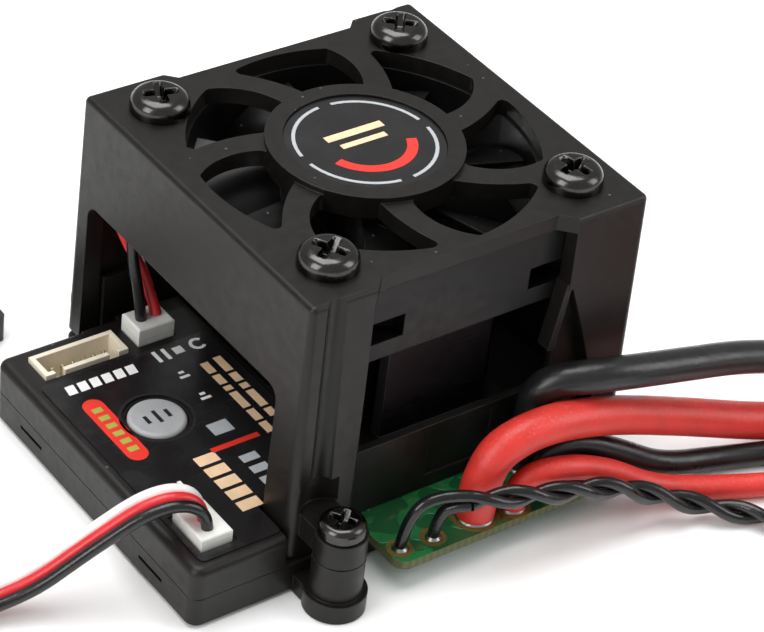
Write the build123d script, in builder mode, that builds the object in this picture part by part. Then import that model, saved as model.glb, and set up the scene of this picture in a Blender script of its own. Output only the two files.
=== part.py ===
from build123d import *
import math
import os

# Electronic speed controller for a model car: a flat case with a connector shelf at its -X end,
# a finned heat sink under a 30 mm fan, and a moulded shroud over both. Millimetres, +Z up.
# The origin is the middle of the object's footprint, on the face that it rests on.
# Every lead leaves from the board's -Y edge or from the shelf.

# ---- driving dimensions ----
block_side = 32.9          # the shroud's top, square
shelf_length = 9.4         # the connector shelf, out from the shroud's -X face
height = 27.4              # the shroud's top face
wall_slope = 1.2           # degrees of draft on the shroud's walls
case_height = 5.9          # the shelf's top face
split_z = 3.0              # where the lower and upper case meet
seam = 0.12                # the fine bevel along each joint of the case
fan_side = 30.0
fan_depth = 7.0
fan_pitch = 24.0           # between the fan's screw holes
plate = 1.5                # the shroud's top plate
board_thick = 0.8

# ---- worked out from them ----
draft = math.tan(math.radians(wall_slope))
base_half = block_side / 2 + draft * (height - split_z)
length = shelf_length + block_side / 2 + base_half
shelf_x = -length / 2                                # the shelf's end face
block_x = shelf_x + shelf_length + block_side / 2    # the fan's axis
face_x = block_x - block_side / 2                    # the shroud's -X face at the top
fan_z = height - plate - fan_depth
board_z = split_z - board_thick
BLOCK = Location((block_x, 0, 0))


def block_plane(z):
    """A level plane whose origin is on the fan's axis."""
    return Plane.XY.offset(z).move(BLOCK)


def save(built, label):
    """Label a finished piece and write it as its own STEP file."""
    built.part.label = label
    export_step(built.part, f"parts/{label}.step")


os.makedirs("parts", exist_ok=True)

# ---- the case ----
case_wall = 1.2
case_floor = 1.1
shelf_front = -17.4
shelf_back = 13.3
shelf_mid = (shelf_front + shelf_back) / 2
shelf_depth = shelf_back - shelf_front
shelf_run = 12.0                       # how far the shelf's own box reaches towards the block
corner = 1.0
ear_x = block_x - block_side / 2 + 2.3     # the ears stand at two opposite corners of the block
ear_y = -20.15
ear_foot_r = 2.6
ear_boss_r = 2.15
ear_split_z = 5.3
ear_top_z = 7.5
ear_screw_r = 1.0
ears = [(ear_x - block_x, ear_y), (block_x - ear_x, -ear_y)]   # from the fan's axis
strip_run = 23.0                       # the board's two edge strips, along X
strip_mid = 2.4                        # from the fan's axis to a strip's middle
strips = [(strip_mid, -1), (-strip_mid, 1)]
strip_reach = 21.8                     # from the fan's axis to a strip's edge
strip_clear = 0.2

with BuildPart() as lower_case:
    with BuildSketch() as footprint:
        with Locations((block_x, 0)):
            RectangleRounded(2 * base_half, 2 * base_half, corner)
        with Locations((shelf_x + shelf_run / 2, shelf_mid)):
            RectangleRounded(shelf_run, shelf_depth, corner)
    extrude(amount=split_z)
    chamfer(lower_case.faces().sort_by(Axis.Z)[0].edges(), 0.3)
    chamfer(lower_case.faces().sort_by(Axis.Z)[-1].edges(), seam)
    with BuildSketch(Plane.XY.offset(case_floor)):
        with Locations((block_x, 0)):
            Rectangle(2 * (base_half - case_wall), 2 * (base_half - case_wall))
        with Locations((shelf_x + shelf_run / 2 + case_wall, shelf_mid)):
            Rectangle(shelf_run, shelf_depth - 2 * case_wall)
    extrude(amount=split_z, mode=Mode.SUBTRACT)
    # The board's strips pass out through both side walls.
    with BuildSketch(block_plane(board_z)):
        for middle, side in strips:
            with Locations((middle, side * base_half)):
                Rectangle(strip_run + 2 * strip_clear, 2 * base_half - 24)
    extrude(amount=split_z, mode=Mode.SUBTRACT)
    # Posts hold the board up from the floor.
    with BuildSketch(Plane.XY.offset(case_floor)):
        with Locations((block_x, 0)):
            with GridLocations(24, 27, 2, 2):
                Circle(1.3)
        with Locations((shelf_x + 2.6, shelf_back - 2.6), (shelf_x + 2.6, shelf_front + 8.5)):
            Circle(1.0)
    extrude(amount=board_z - case_floor)
    # The ears: a wide foot and a narrower boss, joined to the wall by a low web.
    with BuildSketch(block_plane(0)):
        with Locations(*ears):
            Circle(ear_foot_r)
        with Locations((ears[0][0], -(base_half - ear_y) / 2), (ears[1][0], (base_half - ear_y) / 2)):
            Rectangle(2 * ear_boss_r, -ear_y - base_half + 0.6)
    extrude(amount=1.7)
    with BuildSketch(block_plane(0)):
        with Locations(*ears):
            Circle(ear_boss_r)
    extrude(amount=ear_split_z)
    with BuildSketch(block_plane(0)):
        with Locations(*ears):
            Circle(ear_screw_r)
    extrude(amount=ear_split_z, mode=Mode.SUBTRACT)
    # A fine groove runs round each ear under its joint.
    with BuildSketch(block_plane(ear_split_z - seam)):
        with Locations(*ears):
            Circle(ear_boss_r)
            Circle(ear_boss_r - seam, mode=Mode.SUBTRACT)
    extrude(amount=seam, mode=Mode.SUBTRACT)
    # Snap slits in the shelf's end wall.
    with BuildSketch(Plane.YZ.offset(shelf_x)):
        with Locations((shelf_back - 6.0, 1.7), (shelf_front + 6.2, 1.7)):
            Rectangle(3.4, 0.35)
    extrude(amount=0.6, mode=Mode.SUBTRACT)
save(lower_case, "lower_case")

sink_half_x = 7.6
sink_half_y = 13.9
sink_gap = 0.2
inner_half = 15.0                      # what stands inside the shroud stays within this
shelf_end = face_x - 0.75              # where the shelf's box stops, clear of the shroud
inner_end = block_x + inner_half
sensor_x = -15.25
sensor_y = 10.25
sensor_size = (8.0, 2.9)
receiver_x = -18.1
receiver_y = -13.2
receiver_size = (2.9, 4.2)
fan_plug_x = -8.3
fan_plug_y = 10.5
fan_plug_size = (3.5, 2.8)
button_x = -13.85
button_y = 0.15
button_r = 2.5
button_gap = 0.12
lid = 1.2
apron_z = split_z + 0.1                # the apron stops just clear of the board
apron_top = 9.7
apron_thick = 0.7
panel = (6.4, 4.6, 0.2)                # the apron's sunk panel: wide, tall, deep
panel_z = apron_z + 1.3
panel_shift = 1.2                      # from the strip's middle

with BuildPart() as upper_case:
    # The shelf's own box, rounded on its free sides, then the part that runs on under the shroud.
    with BuildSketch(Plane.XY.offset(split_z)):
        with Locations(((shelf_x + shelf_end) / 2, shelf_mid)):
            Rectangle(shelf_end - shelf_x, shelf_depth)
    extrude(amount=case_height - split_z)
    fillet(upper_case.edges().filter_by(Axis.Z).group_by(Axis.X)[0], corner)
    shelf_top = upper_case.faces().sort_by(Axis.Z)[-1]
    fillet(shelf_top.edges().filter_by(lambda e: e.center().X < shelf_end - 0.01), 0.7)
    with BuildSketch(Plane.XY.offset(split_z)):
        with Locations(((shelf_end - 0.5 + inner_end) / 2, 0)):
            Rectangle(inner_end - shelf_end + 0.5, 2 * inner_half - 3.9)
        with Locations(((face_x + 2.4 + inner_end) / 2, 0)):
            Rectangle(inner_end - face_x - 2.4, 2 * inner_half)
    extrude(amount=case_height - split_z)
    with BuildSketch(Plane.XY.offset(split_z)):
        with Locations(((shelf_x + face_x) / 2 + case_wall, shelf_mid)):
            Rectangle(face_x - shelf_x, shelf_depth - 2 * case_wall)
        with Locations((block_x, 0)):
            Rectangle(2 * (inner_half - case_wall), 2 * inner_half - 6.5)
    extrude(amount=case_height - split_z - lid, mode=Mode.SUBTRACT)
    # Openings: the heat sink, the three connectors, the setup button and the board's strips.
    with BuildSketch(Plane.XY.offset(split_z)):
        with Locations((block_x, 0)):
            Rectangle(2 * (sink_half_x + sink_gap), 2 * (sink_half_y + sink_gap))
        with Locations((sensor_x, sensor_y)):
            Rectangle(sensor_size[0] + 0.2, sensor_size[1] + 0.2)
        with Locations((receiver_x, receiver_y)):
            Rectangle(receiver_size[0] + 0.3, receiver_size[1] + 0.3)
        with Locations((fan_plug_x, fan_plug_y)):
            Rectangle(fan_plug_size[0] + 0.3, fan_plug_size[1] + 0.3)
        with Locations((button_x, button_y)):
            Circle(button_r + button_gap)
    extrude(amount=case_height, mode=Mode.SUBTRACT)
    with BuildSketch(block_plane(split_z)):
        for middle, side in strips:
            with Locations((middle, side * inner_half)):
                Rectangle(strip_run + 2 * strip_clear, 3)
    extrude(amount=case_height - split_z, mode=Mode.SUBTRACT)
    # An apron on each open side stands over the strip, with a shallow framed panel on its face.
    with BuildSketch(block_plane(apron_z)):
        for middle, side in strips:
            with Locations((middle, side * (inner_half - apron_thick / 2))):
                Rectangle(strip_run + 2, apron_thick)
    extrude(amount=apron_top - apron_z)
    with BuildSketch(block_plane(panel_z)):
        for middle, side in strips:
            with Locations((middle + side * panel_shift, side * inner_half)):
                Rectangle(panel[0], 2 * panel[2])
    extrude(amount=panel[1], mode=Mode.SUBTRACT)
save(upper_case, "upper_case")

# ---- the shroud, with the fan guard moulded into its top ----
screw_r = 1.25
window_low = -10.4                     # the open side's two edges, from the fan's axis
window_high = 9.3
cavity_half = 15.1
plate_edge = 15.2                      # how far the plate reaches over an open side
plate_slant = 1.2
rib_r = 0.95
recess_web = 0.5                       # what the slanted recess leaves of the wall
rib_thick = 1.4
recess_outline = [(9.2, 20.4), (9.7, 20.4), (11.4, 15.6), (12.7, 11.5), (13.7, 7.4), (13.9, 0), (9.2, 0)]
rib_outline = [(9.1, 20.9), (9.7, 20.9), (8.7, 14.6), (8.1, 14.6)]
vent_low = -13.3                       # the arch's two edges
vent_high = 14.65
vent_top = 17.8
post_lift = 0.9                        # the plain posts stop this far above the case
guard_r = 14.5
hub_r = 8.1
hub_rise = 0.5
label_r = 6.7
arm_count = 7
arm_hub_angle = 97.6


def polar(radius, angle):
    return (radius * math.cos(math.radians(angle)), radius * math.sin(math.radians(angle)))


arm_low = hub_r - 1.0                  # an arm's outline runs from inside the hub ring
arm_high = guard_r + 1.2               # to past the guard's rim
arm_mid = (arm_low + arm_high) / 2

with BuildSketch() as guard_gaps:
    Circle(guard_r)
    Circle(hub_r, mode=Mode.SUBTRACT)
    for index in range(arm_count):
        turn = arm_hub_angle + index * 360 / arm_count
        with BuildLine():
            lead = ThreePointArc(polar(arm_low, turn - 11.5), polar(arm_mid, turn + 0.2),
                                 polar(arm_high, turn + 11.5))
            trail = ThreePointArc(polar(arm_low, turn + 11.5), polar(arm_mid, turn + 11.8),
                                  polar(arm_high, turn + 27.5))
            Line(lead @ 0, trail @ 0)
            Line(lead @ 1, trail @ 1)
        make_face(mode=Mode.SUBTRACT)
    fillet(guard_gaps.vertices(), 0.55)

with BuildPart() as fan_shroud:
    with BuildSketch(block_plane(split_z)):
        RectangleRounded(2 * base_half, 2 * base_half, corner)
    extrude(amount=height - split_z, taper=wall_slope)
    fillet(fan_shroud.faces().sort_by(Axis.Z)[-1].edges(), 0.5)
    chamfer(fan_shroud.faces().sort_by(Axis.Z)[0].edges(), seam)
    with BuildSketch(block_plane(split_z)):
        Rectangle(2 * cavity_half, 2 * cavity_half)
    extrude(amount=height - plate - split_z, mode=Mode.SUBTRACT)
    # The open sides, where the plate stops short between two slanted ends.
    for turn in (1, -1):
        with BuildSketch(block_plane(split_z)):
            with Locations((turn * (window_low + window_high) / 2, turn * -base_half)):
                Rectangle(window_high - window_low, 2 * (base_half - cavity_half) + 1)
        extrude(amount=height - plate - split_z, mode=Mode.SUBTRACT)
        with BuildSketch(block_plane(height - plate)):
            with BuildLine():
                Polyline((turn * (window_low + plate_slant), -turn * plate_edge),
                         (turn * (window_high - plate_slant), -turn * plate_edge),
                         (turn * (window_high + 1), -turn * (plate_edge + plate_slant + 1)),
                         (turn * (window_low - 1), -turn * (plate_edge + plate_slant + 1)), close=True)
            make_face()
        extrude(amount=plate + 1, mode=Mode.SUBTRACT)
    # A rounded rib edges each open side, and a groove runs down to each ear.
    for turn in (1, -1):
        with BuildSketch(block_plane(split_z)):
            with Locations((turn * (window_low - rib_r / 2), -turn * (16 + rib_r / 2 + 0.2))):
                Rectangle(rib_r, rib_r + 0.4)
            with Locations((turn * (window_low - rib_r), -turn * 16)):
                Circle(rib_r, mode=Mode.SUBTRACT)
        extrude(amount=height - plate - split_z, mode=Mode.SUBTRACT)
        with BuildSketch(block_plane(ear_top_z + 1)):
            with Locations((turn * (ears[0][0]), -turn * 17.1)):
                Circle(1.1)
        extrude(amount=height, mode=Mode.SUBTRACT)
    # The arch over the shelf. The opposite wall is closed.
    with BuildSketch(Plane.YZ.offset(block_x - base_half)):
        with Locations(((vent_low + vent_high) / 2, vent_top / 2 - 4)):
            RectangleRounded(vent_high - vent_low, vent_top + 8, 1.3)
    extrude(amount=2.6, both=True, mode=Mode.SUBTRACT)
    # The plain posts are cut short.
    with BuildSketch(block_plane(split_z - 1)):
        for turn in (1, -1):
            with Locations((turn * 14, turn * -16)):
                Rectangle(11, 6)
    extrude(amount=1 + post_lift, mode=Mode.SUBTRACT)
    # A slanted recess beside each open side, and the thin slanted rib between the two.
    for turn in (1, -1):
        with BuildSketch(Plane.XZ.offset(turn * (cavity_half + recess_web))):
            with BuildLine():
                Polyline(*[(block_x + turn * x, z) for x, z in recess_outline], close=True)
            make_face()
        extrude(amount=turn * 3, mode=Mode.SUBTRACT)
        with BuildSketch(Plane.XZ.offset(turn * cavity_half)):
            with BuildLine():
                Polyline(*[(block_x + turn * x, z) for x, z in rib_outline], close=True)
            make_face()
        extrude(amount=turn * rib_thick)
    # The ears' upper halves, and the pocket over each where its screw goes in.
    with BuildSketch(block_plane(ear_split_z)):
        with Locations(*ears):
            Circle(ear_boss_r)
        with Locations((ears[0][0], -18.2), (ears[1][0], 18.2)):
            Rectangle(3.4, 3.6)
    extrude(amount=ear_top_z - ear_split_z)
    with BuildSketch(block_plane(ear_top_z)):
        for turn in (1, -1):
            with Locations((ears[0][0] * turn, turn * -18.2)):
                Circle(2.3)
    extrude(amount=2.4, mode=Mode.SUBTRACT)
    with BuildSketch(block_plane(ear_split_z - 1)):
        with Locations(*ears):
            Circle(ear_screw_r)
    extrude(amount=ear_top_z, mode=Mode.SUBTRACT)
    # The guard: seven gaps round a raised hub ring, and four screw holes.
    with BuildSketch(block_plane(height - plate - 0.5)):
        add(guard_gaps.sketch)
    extrude(amount=plate + 1, mode=Mode.SUBTRACT)
    with BuildSketch(block_plane(height - plate)):
        Circle(hub_r + 0.1)
    extrude(amount=plate + hub_rise)
    with BuildSketch(block_plane(height + hub_rise - 0.35)):
        Circle(label_r)
    extrude(amount=1, mode=Mode.SUBTRACT)
    with BuildSketch(block_plane(height - plate - 0.5)):
        with GridLocations(fan_pitch, fan_pitch, 2, 2):
            Circle(screw_r + 0.1)
    extrude(amount=plate + 1, mode=Mode.SUBTRACT)
save(fan_shroud, "fan_shroud")

with BuildPart() as hub_label:
    with BuildSketch(block_plane(height + hub_rise - 0.35)):
        Circle(label_r - 0.05)
    extrude(amount=0.15)
save(hub_label, "hub_label")

# ---- the board and what stands on it ----
board_gap = 0.2
board_half = base_half - case_wall - board_gap

with BuildPart() as main_board:
    with BuildSketch(Plane.XY.offset(board_z)):
        with Locations((block_x, 0)):
            RectangleRounded(2 * board_half, 2 * board_half, 0.6)
        with Locations((shelf_x + shelf_run / 2 + case_wall + board_gap, shelf_mid)):
            RectangleRounded(shelf_run, shelf_depth - 2 * (case_wall + board_gap), 0.6)
        for middle, side in strips:
            with Locations((block_x + middle, side * strip_reach / 2)):
                RectangleRounded(strip_run, strip_reach, 1.2)
    extrude(amount=board_thick)
save(main_board, "main_board")

mosfet_size = (4.4, 6.0, 1.6)
pad_thick = 0.5
mosfet_top = split_z + mosfet_size[2]

with BuildPart() as power_mosfets:
    with BuildSketch(block_plane(split_z)):
        with GridLocations(5.1, 6.8, 3, 4):
            RectangleRounded(mosfet_size[0], mosfet_size[1], 0.2)
    extrude(amount=mosfet_size[2])
save(power_mosfets, "power_mosfets")

with BuildPart() as thermal_pad:
    with BuildSketch(block_plane(mosfet_top)):
        Rectangle(14.8, 27.0)
    extrude(amount=pad_thick)
save(thermal_pad, "thermal_pad")

sink_z = mosfet_top + pad_thick
sink_base = 2.8
fin_top = 18.5
fin_thick = 1.1
fin_pitch = 2.4
fin_count = 11
fin_short = 5.2                        # half the length of the two outermost fins

with BuildPart() as heat_sink:
    with BuildSketch(block_plane(sink_z)):
        RectangleRounded(2 * sink_half_x, 2 * sink_half_y, 0.5)
    extrude(amount=sink_base)
    with BuildSketch(block_plane(sink_z + sink_base)):
        with GridLocations(0, fin_pitch, 1, fin_count - 2):
            Rectangle(2 * sink_half_x, fin_thick)
        with GridLocations(0, fin_pitch * (fin_count - 1), 1, 2):
            Rectangle(2 * fin_short, fin_thick)
    extrude(amount=fin_top - sink_z - sink_base)
    chamfer(heat_sink.faces().filter_by(lambda f: abs(f.center().Z - fin_top) < 0.01).edges(), 0.2)
save(heat_sink, "heat_sink")

with BuildPart() as microcontroller:
    with BuildSketch(Plane.XY.offset(split_z)):
        with Locations((-15.8, -6.6)):
            RectangleRounded(5.0, 5.0, 0.2)
    extrude(amount=0.9)
    with BuildSketch(Plane.XY.offset(split_z + 0.8)):
        with Locations((-17.5, -4.9)):
            Circle(0.3)
    extrude(amount=0.1, mode=Mode.SUBTRACT)
save(microcontroller, "microcontroller")

with BuildPart() as voltage_regulator:
    with BuildSketch(Plane.XY.offset(split_z)):
        with Locations((-16.6, 5.4)):
            RectangleRounded(4.9, 3.9, 0.2)
    extrude(amount=1.5)
save(voltage_regulator, "voltage_regulator")

with BuildPart() as filter_inductor:
    with BuildSketch(Plane.XY.offset(split_z)):
        with Locations((-7.4, -5.5)):
            RectangleRounded(3.2, 3.2, 0.6)
    extrude(amount=1.5)
save(filter_inductor, "filter_inductor")

with BuildPart() as ceramic_capacitors:
    with BuildSketch(block_plane(split_z)):
        with Locations((12.3, 0)):
            with GridLocations(0, 3.2, 1, 7):
                Rectangle(1.25, 2.0)
    extrude(amount=1.2)
save(ceramic_capacitors, "ceramic_capacitors")

pad_y = 20.3
with BuildPart() as motor_solder_pads:
    with BuildSketch(block_plane(split_z)):
        with Locations((-strip_mid, pad_y)):
            with GridLocations(7.4, 0, 3, 1):
                RectangleRounded(4.6, 2.6, 0.5)
    extrude(amount=0.35)
    chamfer(motor_solder_pads.faces().sort_by(Axis.Z)[-1].edges(), 0.15)
    fillet(motor_solder_pads.edges().group_by(Axis.Z)[-1], 0.1)
save(motor_solder_pads, "motor_solder_pads")

# ---- the connectors on the shelf ----
socket_top = 6.3
socket_wall = 0.45
socket_floor = split_z + 0.7
pin = 0.35

with BuildPart() as sensor_socket:
    with BuildSketch(Plane.XY.offset(split_z)):
        with Locations((sensor_x, sensor_y)):
            Rectangle(*sensor_size)
    extrude(amount=socket_top - split_z)
    with BuildSketch(Plane.XY.offset(socket_floor)):
        with Locations((sensor_x, sensor_y)):
            Rectangle(sensor_size[0] - 2 * socket_wall, sensor_size[1] - 2 * socket_wall)
        for end in (-1, 1):
            with Locations((sensor_x + end * 2.6, sensor_y - sensor_size[1] / 2)):
                Rectangle(0.9, 1.2)
    extrude(amount=socket_top - socket_floor, mode=Mode.SUBTRACT)
save(sensor_socket, "sensor_socket")

with BuildPart() as sensor_pins:
    with BuildSketch(Plane.XY.offset(socket_floor)):
        with Locations((sensor_x, sensor_y)):
            with GridLocations(1.0, 0, 6, 1):
                Rectangle(pin, pin)
    extrude(amount=1.9)
    chamfer(sensor_pins.faces().sort_by(Axis.Z)[-6:].edges(), 0.08)
save(sensor_pins, "sensor_pins")

plug_gap = 0.05
receiver_top = 6.2
receiver_plug_top = 7.0

with BuildPart() as receiver_socket:
    with BuildSketch(Plane.XY.offset(split_z)):
        with Locations((receiver_x, receiver_y)):
            Rectangle(*receiver_size)
    extrude(amount=receiver_top - split_z)
    with BuildSketch(Plane.XY.offset(socket_floor)):
        with Locations((receiver_x, receiver_y)):
            Rectangle(receiver_size[0] - 0.7, receiver_size[1] - 0.7)
    extrude(amount=receiver_top, mode=Mode.SUBTRACT)
save(receiver_socket, "receiver_socket")

with BuildPart() as receiver_plug:
    with BuildSketch(Plane.XY.offset(socket_floor)):
        with Locations((receiver_x, receiver_y)):
            Rectangle(receiver_size[0] - 0.7 - 2 * plug_gap, receiver_size[1] - 0.7 - 2 * plug_gap)
    extrude(amount=receiver_plug_top - socket_floor)
    # Its head covers the socket's rim.
    with BuildSketch(Plane.XY.offset(receiver_top)):
        with Locations((receiver_x, receiver_y)):
            Rectangle(*receiver_size)
    extrude(amount=receiver_plug_top - receiver_top)
    fillet(receiver_plug.faces().sort_by(Axis.Z)[-1].edges(), 0.2)
save(receiver_plug, "receiver_plug")

fan_socket_top = 6.3
fan_plug_top = 7.5

with BuildPart() as fan_socket:
    with BuildSketch(Plane.XY.offset(split_z)):
        with Locations((fan_plug_x, fan_plug_y)):
            Rectangle(*fan_plug_size)
    extrude(amount=fan_socket_top - split_z)
    with BuildSketch(Plane.XY.offset(socket_floor)):
        with Locations((fan_plug_x, fan_plug_y)):
            Rectangle(fan_plug_size[0] - 0.8, fan_plug_size[1] - 0.8)
    extrude(amount=fan_socket_top, mode=Mode.SUBTRACT)
save(fan_socket, "fan_socket")

with BuildPart() as fan_plug:
    with BuildSketch(Plane.XY.offset(socket_floor)):
        with Locations((fan_plug_x, fan_plug_y)):
            Rectangle(fan_plug_size[0] - 0.8 - 2 * plug_gap, fan_plug_size[1] - 0.8 - 2 * plug_gap)
    extrude(amount=fan_plug_top - socket_floor)
    with BuildSketch(Plane.XY.offset(fan_socket_top)):
        with Locations((fan_plug_x, fan_plug_y)):
            Rectangle(*fan_plug_size)
    extrude(amount=fan_plug_top - fan_socket_top)
    fillet(fan_plug.faces().sort_by(Axis.Z)[-1].edges(), 0.2)
save(fan_plug, "fan_plug")

# ---- the setup button: a cap held under the lid, over a tact switch ----
button_travel = 0.25
switch_top = split_z + 0.8
plunger_z = split_z + 0.3              # its lower end, clear of the switch's floor by the travel
flange_z = 4.1
flange_r = 3.0
button_top = 6.15

with BuildPart() as tact_switch:
    with BuildSketch(Plane.XY.offset(split_z)):
        with Locations((button_x, button_y)):
            RectangleRounded(4.2, 4.2, 0.3)
    extrude(amount=switch_top - split_z)
    with BuildSketch(Plane.XY.offset(plunger_z - button_travel)):
        with Locations((button_x, button_y)):
            Circle(1.05)
    extrude(amount=1, mode=Mode.SUBTRACT)
save(tact_switch, "tact_switch")

with BuildPart() as switch_plunger:
    with BuildSketch(Plane.XY.offset(plunger_z)):
        with Locations((button_x, button_y)):
            Circle(1.0)
    extrude(amount=flange_z - plunger_z)
save(switch_plunger, "switch_plunger")

with BuildPart() as setup_button:
    with BuildSketch(Plane.XY.offset(flange_z)):
        with Locations((button_x, button_y)):
            Circle(flange_r)
    extrude(amount=0.4)
    with BuildSketch(Plane.XY.offset(flange_z)):
        with Locations((button_x, button_y)):
            Circle(button_r)
    extrude(amount=button_top - flange_z)
    fillet(setup_button.faces().sort_by(Axis.Z)[-1].edges(), 0.35)
save(setup_button, "setup_button")

# ---- the shelf's label ----
label_thick = 0.15
with BuildPart() as top_label:
    with BuildSketch(Plane.XY.offset(case_height)) as label_outline:
        with Locations((-16.55, -4.2)):
            RectangleRounded(7.5, 24.6, 0.5)
        # Its tongue runs in under the shroud as far as the heat sink.
        with Locations((-8.9, -2.2)):
            RectangleRounded(10.0, 20.6, 0.5)
        with Locations((receiver_x, receiver_y)):
            Rectangle(receiver_size[0] + 0.6, receiver_size[1] + 0.6, mode=Mode.SUBTRACT)
        with Locations((button_x, button_y)):
            Circle(button_r + 0.4, mode=Mode.SUBTRACT)
    extrude(amount=label_thick)
save(top_label, "top_label")

# ---- the fan ----
duct_r = 14.3
fan_corner = 1.6
fan_flange_low = 1.6
fan_flange_high = 3.3
fan_flat = 12.4                        # the flat on each side between the flanges
screw_hole_r = 1.3
cup_r = 6.9
cup_floor = 1.1
tube_r = 2.1
bearing_r = 1.5
shaft_r = 0.75
frame_top = fan_z + fan_depth

with BuildPart() as fan_frame:
    with BuildSketch(block_plane(fan_z)):
        RectangleRounded(fan_side, fan_side, fan_corner)
    extrude(amount=fan_depth)
    # Between the two flanges each corner is cut away round its screw post.
    with BuildSketch(block_plane(fan_z + fan_flange_low)):
        RectangleRounded(fan_side, fan_side, fan_corner)
        Circle(duct_r + 0.6, mode=Mode.SUBTRACT)
        Rectangle(fan_side, fan_flat, mode=Mode.SUBTRACT)
        Rectangle(fan_flat, fan_side, mode=Mode.SUBTRACT)
        with GridLocations(fan_pitch, fan_pitch, 2, 2):
            Circle(2.4, mode=Mode.SUBTRACT)
    extrude(amount=fan_depth - fan_flange_low - fan_flange_high, mode=Mode.SUBTRACT)
    with BuildSketch(block_plane(fan_z)):
        Circle(duct_r)
        with GridLocations(fan_pitch, fan_pitch, 2, 2):
            Circle(screw_hole_r)
    extrude(amount=fan_depth, mode=Mode.SUBTRACT)
    # The motor's cup hangs on three struts at the bottom, with the bearing's tube on it.
    with BuildSketch(block_plane(fan_z)):
        Circle(cup_r)
        with PolarLocations(duct_r / 2 + 1, 3, start_angle=135):
            Rectangle(duct_r, 1.8)
    extrude(amount=cup_floor)
    with BuildSketch(block_plane(fan_z)):
        Circle(tube_r)
    extrude(amount=5.0)
    with BuildSketch(block_plane(fan_z + 0.6)):
        Circle(bearing_r)
    extrude(amount=fan_depth, mode=Mode.SUBTRACT)
save(fan_frame, "fan_frame")

bearing_z = fan_z + 0.9
bearing_top = fan_z + 4.8
with BuildPart() as fan_bearing:
    with BuildSketch(block_plane(bearing_z)):
        Circle(bearing_r)
        Circle(shaft_r + 0.03, mode=Mode.SUBTRACT)
    extrude(amount=bearing_top - bearing_z)
save(fan_bearing, "fan_bearing")

board_clear = 0.1
with BuildPart() as fan_circuit_board:
    with BuildSketch(block_plane(fan_z + cup_floor)):
        Circle(cup_r - 0.7)
        Circle(tube_r + board_clear, mode=Mode.SUBTRACT)
    extrude(amount=0.5)
save(fan_circuit_board, "fan_circuit_board")

stator_z = fan_z + 2.2
stator_thick = 2.0
stator_r = 4.6
with BuildPart() as fan_stator:
    with BuildSketch(block_plane(stator_z)):
        Circle(stator_r)
        Circle(stator_r - 0.6, mode=Mode.SUBTRACT)
        with PolarLocations(stator_r, 4, start_angle=45):
            Rectangle(1.6, 0.9, mode=Mode.SUBTRACT)
        Circle(3.0)
        with PolarLocations(2.2, 4):
            Rectangle(4.0, 1.1)
        Circle(tube_r, mode=Mode.SUBTRACT)
    extrude(amount=stator_thick)
save(fan_stator, "fan_stator")

with BuildPart() as stator_coils:
    with BuildSketch(block_plane(stator_z)):
        with PolarLocations(3.45, 4):
            with Locations((0, 0.95), (0, -0.95)):
                Rectangle(0.7, 0.7)
    extrude(amount=stator_thick)
save(stator_coils, "stator_coils")

hub_bottom = fan_z + 1.9
hub_top = fan_z + 6.5
hub_wall = 0.6
rotor_hub_r = 6.6
yoke_thick = 0.3
magnet_thick = 0.7
blade_count = 7
blade_r = 13.8
blade_low = fan_z + 1.6
blade_high = fan_z + 6.2
blade_thick = 0.5


def blade_section(reach, half_chord, lean):
    """A fan blade's thin curved section, seen along the blade, at a distance from the axis."""
    middle = (blade_low + blade_high) / 2
    rise = (blade_high - blade_low) / 2 - 0.2
    plane = Plane(origin=(block_x + reach, 0, middle), x_dir=(0, 1, 0), z_dir=(1, 0, 0))
    with BuildSketch(plane) as section:
        with BuildLine():
            upper = ThreePointArc((lean - half_chord, rise), (lean, 0.5 + blade_thick / 2),
                                  (lean + half_chord, -rise))
            lower = ThreePointArc((lean - half_chord, rise - 0.3), (lean, 0.5 - blade_thick / 2),
                                  (lean + half_chord, -rise - 0.3))
            Line(upper @ 0, lower @ 0)
            Line(upper @ 1, lower @ 1)
        make_face()
    return section


with BuildPart() as blade:
    add(blade_section(rotor_hub_r - 1.4, 2.2, 0).sketch)
    add(blade_section(blade_r + 0.6, 4.4, -1.2).sketch)
    loft()

fan_axis = Axis((block_x, 0, 0), (0, 0, 1))
with BuildPart() as fan_rotor:
    for index in range(blade_count):
        add(blade.part.rotate(fan_axis, index * 360 / blade_count))
    with BuildSketch(block_plane(blade_low - 0.5)):
        Circle(blade_r)
    extrude(amount=fan_depth, mode=Mode.INTERSECT)
    with BuildSketch(block_plane(hub_bottom)):
        Circle(rotor_hub_r)
    extrude(amount=hub_top - hub_bottom)
    fillet(fan_rotor.faces().sort_by(Axis.Z)[-1].edges(), 0.35)
    with BuildSketch(block_plane(fan_z)):
        Circle(rotor_hub_r - hub_wall)
    extrude(amount=hub_top - fan_z - hub_wall, mode=Mode.SUBTRACT)
    with BuildSketch(block_plane(hub_top - hub_wall - 0.8)):
        Circle(1.6)
        Circle(shaft_r, mode=Mode.SUBTRACT)
    extrude(amount=0.8)
save(fan_rotor, "fan_rotor")

with BuildPart() as rotor_yoke:
    with BuildSketch(block_plane(hub_bottom)):
        Circle(rotor_hub_r - hub_wall)
        Circle(rotor_hub_r - hub_wall - yoke_thick, mode=Mode.SUBTRACT)
    extrude(amount=hub_top - hub_bottom - hub_wall)
save(rotor_yoke, "rotor_yoke")

with BuildPart() as rotor_magnet:
    with BuildSketch(block_plane(hub_bottom + 0.2)):
        Circle(rotor_hub_r - hub_wall - yoke_thick)
        Circle(rotor_hub_r - hub_wall - yoke_thick - magnet_thick, mode=Mode.SUBTRACT)
    extrude(amount=3.0)
save(rotor_magnet, "rotor_magnet")

shaft_bottom = fan_z + 0.75
with BuildPart() as fan_shaft:
    with BuildSketch(block_plane(shaft_bottom)):
        Circle(shaft_r)
    extrude(amount=hub_top - hub_wall - shaft_bottom)
save(fan_shaft, "fan_shaft")

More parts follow.
